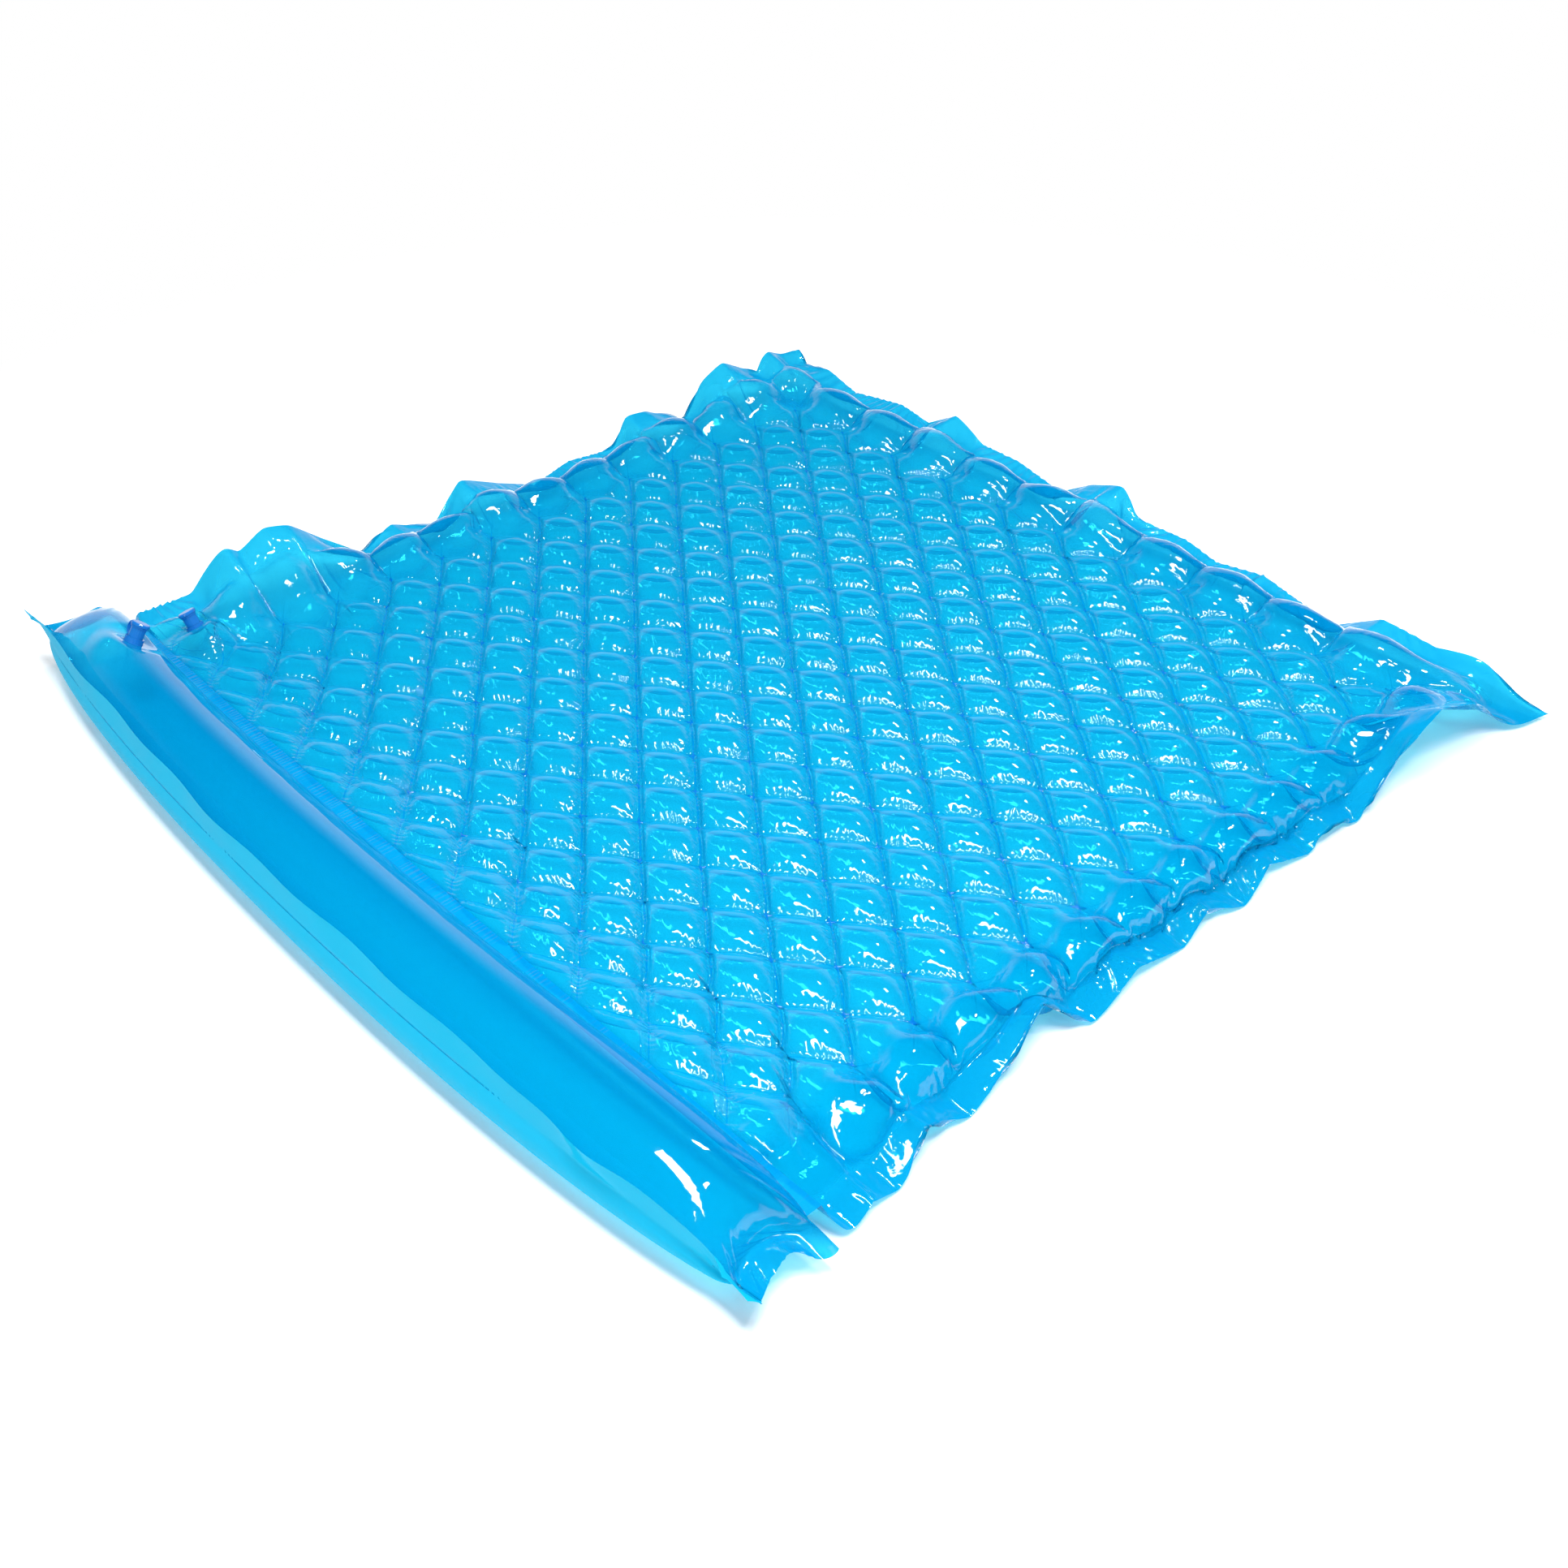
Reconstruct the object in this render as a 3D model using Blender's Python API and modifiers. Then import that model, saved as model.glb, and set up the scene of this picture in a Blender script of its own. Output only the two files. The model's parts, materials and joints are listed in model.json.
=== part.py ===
"""Pool air mattress: a quilted mat of clear PVC film with a smooth pillow chamber along one side.

X runs across the mattress, +Y from the pillow to the foot, +Z up. The origin is on the floor, under
the middle of the mattress. Everything is in metres.

Two films, one above and one below, are welded together all round and at a field of weld spots, so
that the mat puffs up into diamond cells. The pillow is a second chamber, joined to the mat by a flat
weld strip that folds like a hinge. Each chamber has a soft push-in stem valve.
"""

from math import cos, pi, radians, sin, sqrt, tau

import bmesh
import bpy
from mathutils import Matrix, Vector
from mathutils.bvhtree import BVHTree

# Film and weld
FILM = 0.0008            # film thickness, drawn about three times the real one
GAP = 0.0003             # space left between pieces that touch
FLANGE = 0.024           # flat welded edge that stands out all round the mat
WELD_STRIP = 0.012       # flat strip between the mat and the pillow, half on each
FOLD_GAP = 0.0006        # space between the strip's halves, where the film bends

# Quilting of the mat
CELL_ACROSS = 0.070      # diagonal of a diamond cell, across the mat
CELL_ALONG = 0.0536      # diagonal of a diamond cell, along the mat
CELLS_ACROSS = 10        # whole cells between the outermost lines of weld spots, across
CELLS_ALONG = 12         # the same along
EDGE_CELL = 0.052        # from the outermost line of spots to the border weld
EDGE_BULGE = 0.013       # how far the border cells' crests lie outside that line
CELL_RISE = 0.0122       # from the weld plane to the ridge of a cell, in the upper film
CELL_RIDGE = 0.028       # length of that ridge, across the mat
UNDER_RISE = 0.0172      # from the weld plane down to a cell's crest, in the lower film
EDGE_RISE = 0.0190       # from the weld plane to a border cell's crest, in each film
CORNER_RISE = 0.0255     # the same in the unquilted corner that holds the mat's valve
RISE_LENGTH = 0.105      # stretch over which the mat climbs to the weld strip

# Ruffled edge
RUFFLE = 0.011           # height of the edge's waves
LEFT_WAVE = 7.6          # rows of spots in one wave of the left edge
LEFT_FIRST = 3.1         # row at which that wave starts
LEFT_CURL = 0.0125       # mean rise of the left edge, which curls up
RIGHT_WAVE = 3.4         # rows in one wave of the right edge
RIGHT_FIRST = 2.8        # row at which that wave starts
RIGHT_DROOP = 0.010      # mean fall of the right edge, which hangs down
FOOT_WAVE = 5            # lines of spots in one wave of the foot edge
FOOT_FIRST = 0.5         # line at which that wave starts
FOOT_CURL = 0.006        # mean rise of the foot edge
CORNER_LOBE = 0.024      # extra rise of the big fold beside the valve corner
LOBE_ROW = 5             # row at that fold's middle
LOBE_REACH = 3           # rows from its middle to its ends

# Pillow
PILLOW_RADIUS = 0.0405
PILLOW_LENGTH = 0.866    # between its end welds
END_FLANGE = 0.020       # flat edge past each end weld
PILLOW_FLANGE = 0.024    # flat edge that stands up along the front
FRONT_WELD_TURN = 20     # degrees that the front weld lies above the pillow's middle
FLANGE_LEAN = 20         # degrees that the front edge leans out from upright
SIDES = 18               # flat sides round the whole pillow
STATIONS = 22            # steps along the pillow
END_SHAPE = 9            # how late the pillow tapers: higher is later
END_DRAW = 0.30          # share of its depth that each gathered end loses
END_LEAN = 45            # degrees that the front edge leans out from upright at the ends

# Resting on the floor
REST_CUT = 0.0005        # depth to which resting forms are cut flat
REST_EVERY = 4           # every fourth cell each way carries the mat

# Valves
BASE_RADIUS = 0.0115
BASE_THICK = 0.0012
COLLAR_WALL = 0.0012
COLLAR_HEIGHT = 0.0030
STEM_RADIUS = 0.0060
STEM_BORE = 0.0038
STEM_HEIGHT = 0.0125     # above the film's inner face
LIP = 0.0008             # how far the stem's two lips stand out
LIP_THICK = 0.0012
PLUG_HEAD = 0.0026
PLUG_SHANK = 0.0080
PLUG_BEVEL = 0.0008      # bevel of the plug's head and tip
TETHER_WIDTH = 0.0030
TETHER_THICK = 0.0009
FLAP_THICK = 0.0005
FLAP_OVERLAP = 0.0010    # how far the check flap covers the rim of the bore
ROUND_STEPS = 20
PILLOW_VALVE_FROM_END = 0.100
PILLOW_VALVE_SIDE = 2    # the flat side of the pillow, counted up from the strip, that holds it

# Derived sizes
HALF_ACROSS = CELL_ACROSS / 2
HALF_ALONG = CELL_ALONG / 2
COLUMNS = 2 * CELLS_ACROSS + 1
ROWS = 2 * CELLS_ALONG + 1
WELD_PLANE = UNDER_RISE + FILM + GAP / 2
STEP = tau / SIDES
FLAT_SIDE = cos(STEP / 2)
PILLOW_MIDDLE = PILLOW_RADIUS * FLAT_SIDE + FILM + GAP / 2 - REST_CUT
STRIP_Z = PILLOW_MIDDLE
HINGE_Z = STRIP_Z + GAP / 2 + FILM
FRONT_TURN = radians(180 - FRONT_WELD_TURN)
FLANGE_TURN = radians(90 + FLANGE_LEAN)
END_LEAN_TURN = radians(90 + END_LEAN)
MAT_LENGTH = 2 * EDGE_CELL + (ROWS - 1) * HALF_ALONG
MAT_DEPTH = WELD_STRIP / 2 + MAT_LENGTH + FLANGE
END_DEPTH = PILLOW_RADIUS * (1 - END_DRAW)
MIDDLE_REACH = PILLOW_RADIUS * (1 - cos(FRONT_TURN)) - PILLOW_FLANGE * cos(FLANGE_TURN)
END_REACH = 2 * END_DEPTH - PILLOW_FLANGE * cos(END_LEAN_TURN)
PILLOW_DEPTH = WELD_STRIP / 2 + max(MIDDLE_REACH, END_REACH)
HINGE_Y = (PILLOW_DEPTH - MAT_DEPTH) / 2
NEAR_WELD = HINGE_Y + WELD_STRIP / 2
COLLAR_RADIUS = STEM_RADIUS + GAP + COLLAR_WALL
HOLE_RADIUS = COLLAR_RADIUS + GAP
STEM_FOOT = -(GAP + BASE_THICK + GAP + LIP_THICK)
FLAP_RADIUS = STEM_BORE + FLAP_OVERLAP

parts = None
cutters = None


def clear_scene():
    for thing in list(bpy.data.objects):
        bpy.data.objects.remove(thing, do_unlink=True)


def make_collection(name):
    collection = bpy.data.collections.new(name)
    bpy.context.scene.collection.children.link(collection)
    return collection


def plastic(name, colour, roughness, alpha):
    """A glossy PVC, drawn with a plain Principled shader."""
    material = bpy.data.materials.new(name)
    material.use_nodes = True
    shader = material.node_tree.nodes["Principled BSDF"]
    shader.inputs["Base Color"].default_value = (*colour, 1.0)
    shader.inputs["Roughness"].default_value = roughness
    shader.inputs["Metallic"].default_value = 0.0
    shader.inputs["Alpha"].default_value = alpha
    material.diffuse_color = (*colour, alpha)
    return material


def add_object(name, mesh, material, parent=None):
    piece = bpy.data.objects.new(name, mesh)
    piece.data.materials.append(material)
    piece.parent = parent
    parts.objects.link(piece)
    return piece


def add_empty(name, matrix):
    empty = bpy.data.objects.new(name, None)
    empty.matrix_world = matrix
    empty.empty_display_size = STEM_HEIGHT
    parts.objects.link(empty)
    return empty


def add_cutter(name, build, matrix):
    """A closed mesh, made by build(bm), that Boolean modifiers cut away."""
    bm = bmesh.new()
    build(bm)
    mesh = bpy.data.meshes.new(name)
    bm.to_mesh(mesh)
    bm.free()
    cutter = bpy.data.objects.new(name, mesh)
    cutter.matrix_world = matrix
    cutter.hide_render = True
    cutter.display_type = "WIRE"
    cutters.objects.link(cutter)
    return cutter


def cut(piece, cutter):
    modifier = piece.modifiers.new("cut by " + cutter.name, "BOOLEAN")
    modifier.operation = "DIFFERENCE"
    modifier.solver = "EXACT"
    modifier.object = cutter


def draw_ridge(bm, crest, spot):
    """Draws a pyramid's tip out into a level ridge, half of it on each side of the tip."""
    across = spot.co - crest.co
    across.z = 0
    half = across.normalized() * CELL_RIDGE / 2
    edge = bm.edges.get((crest, spot))
    others = [face.verts for face in edge.link_faces]
    sides = [next(v for v in verts if v not in (crest, spot)) for verts in others]
    far = bmesh.utils.edge_split(edge, crest, 0.5)[1]
    for side in sides:
        bmesh.ops.connect_verts(bm, verts=[far, side])
    far.co = crest.co + half
    crest.co -= half


def sheet(name, columns, rows, place, lift, upward, material, parent=None, origin=Vector(), ridge=None):
    """A film: a grid of points at place(i, j), thickened on its outer side.

    Each square folds along the diagonal that lies lower by lift(i, j), which leaves the crests whole.
    Where ridge(i, j) holds, the crest is a ridge along the row.
    """
    bm = bmesh.new()
    bmesh.ops.create_grid(bm, x_segments=columns - 1, y_segments=rows - 1, size=1)
    ordered = sorted(bm.verts, key=lambda v: (round(v.co.y, 5), round(v.co.x, 5)))
    lifts = {}
    for index, vert in enumerate(ordered):
        i, j = index % columns, index // columns
        vert.co = place(i, j) - origin
        lifts[vert] = lift(i, j)
    for face in list(bm.faces):
        a, b, c, d = face.verts
        if lifts[a] + lifts[c] <= lifts[b] + lifts[d]:
            bmesh.utils.face_split(face, a, c)
        else:
            bmesh.utils.face_split(face, b, d)
    for index, vert in enumerate(ordered):
        if ridge and ridge(index % columns, index // columns):
            draw_ridge(bm, vert, ordered[index + 1])
    if not upward:
        bmesh.ops.reverse_faces(bm, faces=bm.faces)
    mesh = bpy.data.meshes.new(name)
    bm.to_mesh(mesh)
    bm.free()
    piece = add_object(name, mesh, material, parent)
    if parent is None:
        piece.location = origin
    thicken = piece.modifiers.new("film thickness", "SOLIDIFY")
    thicken.thickness = FILM
    thicken.offset = 1
    return piece


# The mat

def spread(index, count, pitch):
    """Place of a grid line from the middle: edge, border weld, the lines of spots, weld, edge."""
    reach = (count - 1) * pitch / 2
    if index == 0:
        return -(reach + EDGE_CELL + FLANGE)
    if index == 1:
        return -(reach + EDGE_CELL)
    if index == count + 2:
        return reach + EDGE_CELL
    if index == count + 3:
        return reach + EDGE_CELL + FLANGE
    return (index - 2) * pitch - reach


def mat_y(j):
    """Rows run from the weld strip to the foot; row 0 is the strip's half on the mat."""
    middle = NEAR_WELD + MAT_LENGTH / 2
    if j == 0:
        return HINGE_Y + FOLD_GAP / 2
    return middle + spread(j, ROWS, HALF_ALONG)


def weld_plane(y):
    """The welds lie level, and climb towards the pillow's middle near the strip."""
    left = min(1.0, max(0.0, 1 - (y - NEAR_WELD) / RISE_LENGTH))
    return WELD_PLANE + (STRIP_Z - WELD_PLANE) * left * left


def edge_wave(along, first, length):
    return RUFFLE * sin(tau * (along - first) / length)


def edge_rise(i, j):
    """How far the mat's outer edge stands above or below the welds."""
    rise = 0.0
    if i == 0:
        lobe = CORNER_LOBE * max(0.0, 1 - abs(j - LOBE_ROW) / LOBE_REACH)
        rise = LEFT_CURL + edge_wave(j, LEFT_FIRST, LEFT_WAVE) + lobe
    elif i == COLUMNS + 3:
        rise = -RIGHT_DROOP + edge_wave(j, RIGHT_FIRST, RIGHT_WAVE)
    elif j == ROWS + 3:
        rise = FOOT_CURL + edge_wave(i, FOOT_FIRST, FOOT_WAVE)
    beside_strip = min(1.0, max(0.0, (j - 1) / 2))
    return rise * beside_strip


def is_border(i, j):
    return i <= 1 or i >= COLUMNS + 2 or j <= 1 or j >= ROWS + 2


def is_outermost(index, count):
    """Whether a grid line is the first or last line of spots, beside the border cells."""
    return index == 2 or index == count + 1


def is_inner_crest(i, j):
    outermost = is_outermost(i, COLUMNS) or is_outermost(j, ROWS)
    return (i + j) % 2 == 1 and not is_border(i, j) and not outermost


def cell_lift(i, j, up=True):
    """Height of a grid point over the welds: nothing at a spot, the full rise at a crest."""
    if is_border(i, j):
        return 0.0
    if i == 2 and j == 2:
        return CORNER_RISE
    if (i + j) % 2 == 0:
        return 0.0
    if not is_inner_crest(i, j):
        return EDGE_RISE
    return CELL_RISE if up else UNDER_RISE


def bulge(index, count, lift):
    """Border cells are bigger, and their crests lie further out than the line of spots."""
    if lift != EDGE_RISE or not is_outermost(index, count):
        return 0.0
    return -EDGE_BULGE if index == 2 else EDGE_BULGE


def mat_point(i, j, up):
    lift = cell_lift(i, j, up)
    x = spread(i, COLUMNS, HALF_ACROSS) + bulge(i, COLUMNS, lift)
    y = mat_y(j) + bulge(j, ROWS, lift)
    middle = max(weld_plane(mat_y(j)) + edge_rise(i, j), FILM + GAP)
    if up:
        return Vector((x, y, middle + GAP / 2 + lift))
    rests = lift > 0 and i % REST_EVERY == 0 and (j - 1) % REST_EVERY == 0
    lowest = FILM - REST_CUT if rests else FILM + GAP
    if lift == 0:
        lowest = FILM
    return Vector((x, y, lowest if rests else max(lowest, middle - GAP / 2 - lift)))


def make_mat(film):
    columns, rows = COLUMNS + 4, ROWS + 4
    top = sheet("mat_top_sheet", columns, rows, lambda i, j: mat_point(i, j, True),
                cell_lift, True, film, ridge=is_inner_crest)
    bottom = sheet("mat_bottom_sheet", columns, rows, lambda i, j: mat_point(i, j, False),
                   cell_lift, False, film)
    return top, bottom


# The pillow

def pillow_x(station):
    """Stations crowd towards the ends, where the pillow tapers; the first and last are the flange."""
    if station == 0:
        return -(PILLOW_LENGTH / 2 + END_FLANGE)
    if station == STATIONS + 2:
        return PILLOW_LENGTH / 2 + END_FLANGE
    return -PILLOW_LENGTH / 2 * cos(pi * (station - 1) / STATIONS)


def pillow_section(x):
    """Half height and half depth of the pillow at x: the ends flatten, and are gathered in."""
    share = min(1.0, abs(2 * x / PILLOW_LENGTH))
    height = PILLOW_RADIUS * sqrt(max(0.0, 1 - share ** END_SHAPE))
    depth = END_DEPTH + (PILLOW_RADIUS - END_DEPTH) * height / PILLOW_RADIUS
    return height, depth


def pillow_point(station, turn, layer, up):
    """A point of the pillow's film.

    turn is the angle round the pillow, from 0 at the strip. layer is None on the tube, "strip" on
    the weld strip and "flange" on the outer edge of the front flange.
    """
    x = pillow_x(station)
    height, depth = pillow_section(x)
    share = height / PILLOW_RADIUS
    side = 1 if up else -1
    rise = side * radians(FRONT_WELD_TURN)
    turn *= (pi - rise * share) / (pi - rise)
    z = PILLOW_MIDDLE
    rear = HINGE_Y - WELD_STRIP / 2
    if layer == "strip":
        return Vector((x, HINGE_Y - FOLD_GAP / 2, z + side * GAP / 2))
    y = rear - depth + depth * cos(turn)
    z += height * sin(turn)
    if layer == "flange":
        lean = FLANGE_TURN * share + END_LEAN_TURN * (1 - share)
        y += PILLOW_FLANGE * cos(lean) + side * GAP * sin(lean)
        z += PILLOW_FLANGE * sin(lean) - side * GAP * cos(lean)
    return Vector((x, y, z + side * GAP / 2))


def make_pillow_sheet(name, up, film, parent):
    """One of the pillow's two films, from the weld strip round to the front flange."""
    reach = FRONT_TURN if up else -(tau - FRONT_TURN)
    steps = round(abs(reach) / STEP)
    turns = [reach * k / steps for k in range(steps + 1)]
    columns = STATIONS + 3
    rows = len(turns) + 2

    def place(i, j):
        if j == 0:
            return pillow_point(i, 0.0, "strip", up)
        if j == rows - 1:
            return pillow_point(i, turns[-1], "flange", up)
        return pillow_point(i, turns[j - 1], None, up)

    origin = Vector((0, HINGE_Y, HINGE_Z))
    return sheet(name, columns, rows, place, lambda i, j: 0.0, not up, film, parent, origin)


# The valves

def turned(name, profile, closed, material, parent):
    """A shape turned round Z from (radius, height) points that run down its outer side.

    A ring's profile is closed; a solid's runs from the axis out and back to it.
    """
    bm = bmesh.new()
    verts = [bm.verts.new((radius, 0, height)) for radius, height in profile]
    ends = verts[1:] + verts[:1] if closed else verts[1:]
    for first, second in zip(verts, ends):
        bm.edges.new((first, second))
    mesh = bpy.data.meshes.new(name)
    bm.to_mesh(mesh)
    bm.free()
    piece = add_object(name, mesh, material, parent)
    screw = piece.modifiers.new("turn", "SCREW")
    screw.axis = "Z"
    screw.angle = tau
    screw.steps = ROUND_STEPS
    screw.render_steps = ROUND_STEPS
    screw.use_merge_vertices = True
    screw.merge_threshold = 0.00001
    return piece


def make_tether(name, crown, material, parent):
    """A strap from the collar to the plug's head, bowed out in a half circle."""
    low = crown + FILM + GAP + TETHER_THICK
    high = crown + STEM_HEIGHT + GAP + PLUG_HEAD / 2
    middle = (low + high) / 2
    outer = (high - low) / 2 + TETHER_THICK / 2
    curve = bpy.data.curves.new(name, "CURVE")
    curve.dimensions = "2D"
    curve.fill_mode = "BOTH"
    curve.extrude = TETHER_WIDTH / 2
    steps = 10
    outline = []
    for radius, order in ((outer, range(steps + 1)), (outer - TETHER_THICK, range(steps, -1, -1))):
        for k in order:
            turn = -pi / 2 + pi * k / steps
            outline.append((COLLAR_RADIUS + GAP + radius * cos(turn), middle + radius * sin(turn)))
    spline = curve.splines.new("POLY")
    spline.points.add(len(outline) - 1)
    for point, (x, z) in zip(spline.points, outline):
        point.co = (x, z, 0, 1)
    spline.use_cyclic_u = True
    flat = bpy.data.objects.new(name + " outline", curve)
    flat.rotation_euler = (pi / 2, 0, 0)
    parts.objects.link(flat)
    bpy.context.view_layer.update()
    graph = bpy.context.evaluated_depsgraph_get()
    mesh = bpy.data.meshes.new_from_object(flat.evaluated_get(graph))
    mesh.transform(flat.matrix_world)
    mesh.name = name
    bpy.data.objects.remove(flat, do_unlink=True)
    bm = bmesh.new()
    bm.from_mesh(mesh)
    bmesh.ops.remove_doubles(bm, verts=bm.verts, dist=0.00001)
    bmesh.ops.recalc_face_normals(bm, faces=bm.faces)
    bm.to_mesh(mesh)
    bm.free()
    return add_object(name, mesh, material, parent)


def make_valve(prefix, frame, crown, film_piece, tinted):
    """A push-in stem valve at frame, whose Z leaves the film.

    The frame's origin is level with the film's inner face over the base's rim. crown is how much
    higher that face is over the base's middle, where the film bulges.
    """
    seat = add_empty(prefix + "_valve_seat", frame)

    base_top = -GAP
    base_low = base_top - BASE_THICK
    inner = STEM_RADIUS + GAP
    collar_top = crown + COLLAR_HEIGHT
    base_profile = [(inner, collar_top), (COLLAR_RADIUS, collar_top), (COLLAR_RADIUS, base_top),
                    (BASE_RADIUS, base_top), (BASE_RADIUS, base_low), (inner, base_low)]
    turned(prefix + "_valve_base", base_profile, True, tinted, seat)

    lip = STEM_RADIUS + LIP
    foot_top = STEM_FOOT + LIP_THICK
    stem_top = crown + STEM_HEIGHT
    stem_profile = [(STEM_BORE, stem_top), (lip, stem_top), (lip, stem_top - LIP_THICK),
                    (STEM_RADIUS, stem_top - LIP_THICK), (STEM_RADIUS, foot_top), (lip, foot_top),
                    (lip, STEM_FOOT), (STEM_BORE, STEM_FOOT)]
    turned(prefix + "_valve_stem", stem_profile, True, tinted, seat)

    head_low = stem_top + GAP
    head_top = head_low + PLUG_HEAD
    shank = STEM_BORE - GAP
    tip = stem_top - PLUG_SHANK
    plug_profile = [(0, head_top), (COLLAR_RADIUS - PLUG_BEVEL, head_top),
                    (COLLAR_RADIUS, head_top - PLUG_BEVEL), (COLLAR_RADIUS, head_low),
                    (shank, head_low), (shank, tip + PLUG_BEVEL), (shank - PLUG_BEVEL, tip), (0, tip)]
    turned(prefix + "_valve_plug", plug_profile, False, tinted, seat)

    flap_top = STEM_FOOT - GAP
    flap_profile = [(0, 0), (FLAP_RADIUS, 0), (FLAP_RADIUS, -FLAP_THICK), (0, -FLAP_THICK)]
    flap = turned(prefix + "_valve_flap", flap_profile, False, tinted, seat)
    flap.data.transform(Matrix.Translation((FLAP_RADIUS, 0, 0)))
    flap.modifiers["turn"].object = add_empty(prefix + "_valve_flap_middle",
                                              frame @ Matrix.Translation((0, 0, flap_top)))
    flap.location = (-FLAP_RADIUS, 0, flap_top)

    make_tether(prefix + "_valve_tether", crown, tinted, seat)

    def hole(bm):
        bmesh.ops.create_cone(bm, cap_ends=True, segments=ROUND_STEPS, radius1=HOLE_RADIUS,
                              radius2=HOLE_RADIUS, depth=4 * COLLAR_HEIGHT)

    cut(film_piece, add_cutter(prefix + "_valve_hole", hole, frame))


def frame_on(point, outward, across):
    """A frame with Z along outward and X near across."""
    z = outward.normalized()
    y = z.cross(across).normalized()
    x = y.cross(z)
    turn = Matrix((x, y, z)).transposed().to_4x4()
    return Matrix.Translation(point) @ turn


def inner_face(film_piece):
    """The film's inner face, as a tree to cast rays at in world space."""
    bpy.context.view_layer.update()
    verts = [film_piece.matrix_world @ v.co for v in film_piece.data.vertices]
    return BVHTree.FromPolygons(verts, [tuple(p.vertices) for p in film_piece.data.polygons])


def seat_base(tree, frame):
    """Sink a valve's frame until its round base fits under the film, and say how far it sank."""
    out = frame.to_3x3() @ Vector((0, 0, 1))
    heights = [0.0]
    for k in range(ROUND_STEPS):
        turn = tau * k / ROUND_STEPS
        rim = Vector((BASE_RADIUS * cos(turn), BASE_RADIUS * sin(turn), -BASE_RADIUS))
        hit = tree.ray_cast(frame @ rim, out)
        if hit[0] is not None:
            heights.append(hit[3] - BASE_RADIUS)
    crown = -min(heights)
    return frame @ Matrix.Translation((0, 0, -crown)), crown


def mat_valve_frame():
    """The valve sits in the middle of the sloping facet of the unquilted corner."""
    low_near = mat_point(2, 1, True)
    low_left = mat_point(1, 2, True)
    crest = mat_point(2, 2, True)
    a, b, c = (low_left - crest).length, (low_near - crest).length, (low_near - low_left).length
    centre = (low_near * a + low_left * b + crest * c) / (a + b + c)
    outward = (low_left - low_near).cross(crest - low_near)
    if outward.z < 0:
        outward.negate()
    return frame_on(centre, outward, Vector((-1, 0, 0)))


def pillow_valve_frame(tree):
    """The valve stands on the rear of the pillow's crown, near its left end."""
    x = -(PILLOW_LENGTH / 2 - PILLOW_VALVE_FROM_END)
    turn = STEP * (PILLOW_VALVE_SIDE + 0.5)
    height, depth = pillow_section(x)
    middle = Vector((x, HINGE_Y - WELD_STRIP / 2 - depth, PILLOW_MIDDLE))
    point, outward, face, reach = tree.ray_cast(middle, Vector((0, cos(turn), sin(turn))))
    if outward.z < 0:
        outward.negate()
    return frame_on(point, outward, Vector((-1, 0, 0)))


def build():
    global parts, cutters
    clear_scene()
    parts = make_collection("pool air mattress")
    cutters = make_collection("cutters")
    film = plastic("clear_blue_pvc_film", (0.0, 0.42, 0.82), 0.12, 0.75)
    tinted = plastic("soft_blue_pvc_moulding", (0.0, 0.19, 0.62), 0.25, 0.9)

    def below_floor(bm):
        bmesh.ops.create_cube(bm, size=2)

    floor = add_cutter("floor_block", below_floor, Matrix.Translation((0, 0, -1)))

    mat_top, mat_bottom = make_mat(film)
    cut(mat_bottom, floor)
    frame, crown = seat_base(inner_face(mat_top), mat_valve_frame())
    make_valve("mat", frame, crown, mat_top, tinted)

    fold = add_empty("pillow_fold_axis", Matrix.Translation((0, HINGE_Y, HINGE_Z)))
    pillow_top = make_pillow_sheet("pillow_top_sheet", True, film, fold)
    pillow_bottom = make_pillow_sheet("pillow_bottom_sheet", False, film, fold)
    cut(pillow_bottom, floor)
    tree = inner_face(pillow_top)
    frame, crown = seat_base(tree, pillow_valve_frame(tree))
    make_valve("pillow", frame, crown, pillow_top, tinted)


build()
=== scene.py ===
"""Looks of the pool air mattress: two chambers of clear blue PVC film, blown up, on a white studio floor.

The films are worked out as cloth is: sheets with a flat length, welded together at the border and at
the weld spots, pressed apart by the air between them. Everything is in metres, in the part's own
frame: X across the mattress, +Y from the pillow to the foot, +Z up.
"""

import json
from math import cos, pi, radians, sin, tau

import bpy
import numpy as np
from mathutils import Matrix, Vector


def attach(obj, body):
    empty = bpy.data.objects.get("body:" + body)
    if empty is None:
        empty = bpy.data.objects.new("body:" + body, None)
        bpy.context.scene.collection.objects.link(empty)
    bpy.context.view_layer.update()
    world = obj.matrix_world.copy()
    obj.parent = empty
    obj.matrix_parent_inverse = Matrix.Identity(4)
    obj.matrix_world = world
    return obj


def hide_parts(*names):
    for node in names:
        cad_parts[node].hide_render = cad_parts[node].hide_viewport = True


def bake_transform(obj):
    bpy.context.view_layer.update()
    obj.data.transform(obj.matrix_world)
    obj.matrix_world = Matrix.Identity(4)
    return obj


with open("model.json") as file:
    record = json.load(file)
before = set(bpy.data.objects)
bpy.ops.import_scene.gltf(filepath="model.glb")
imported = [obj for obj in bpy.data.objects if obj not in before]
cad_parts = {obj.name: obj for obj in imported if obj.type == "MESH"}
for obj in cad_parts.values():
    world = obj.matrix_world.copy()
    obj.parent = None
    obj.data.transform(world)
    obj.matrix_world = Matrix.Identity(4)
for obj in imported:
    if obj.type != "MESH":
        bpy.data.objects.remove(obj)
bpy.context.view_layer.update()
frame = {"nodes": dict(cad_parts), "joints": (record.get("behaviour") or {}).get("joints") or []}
joints = {joint["name"]: joint for joint in frame["joints"]}

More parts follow.
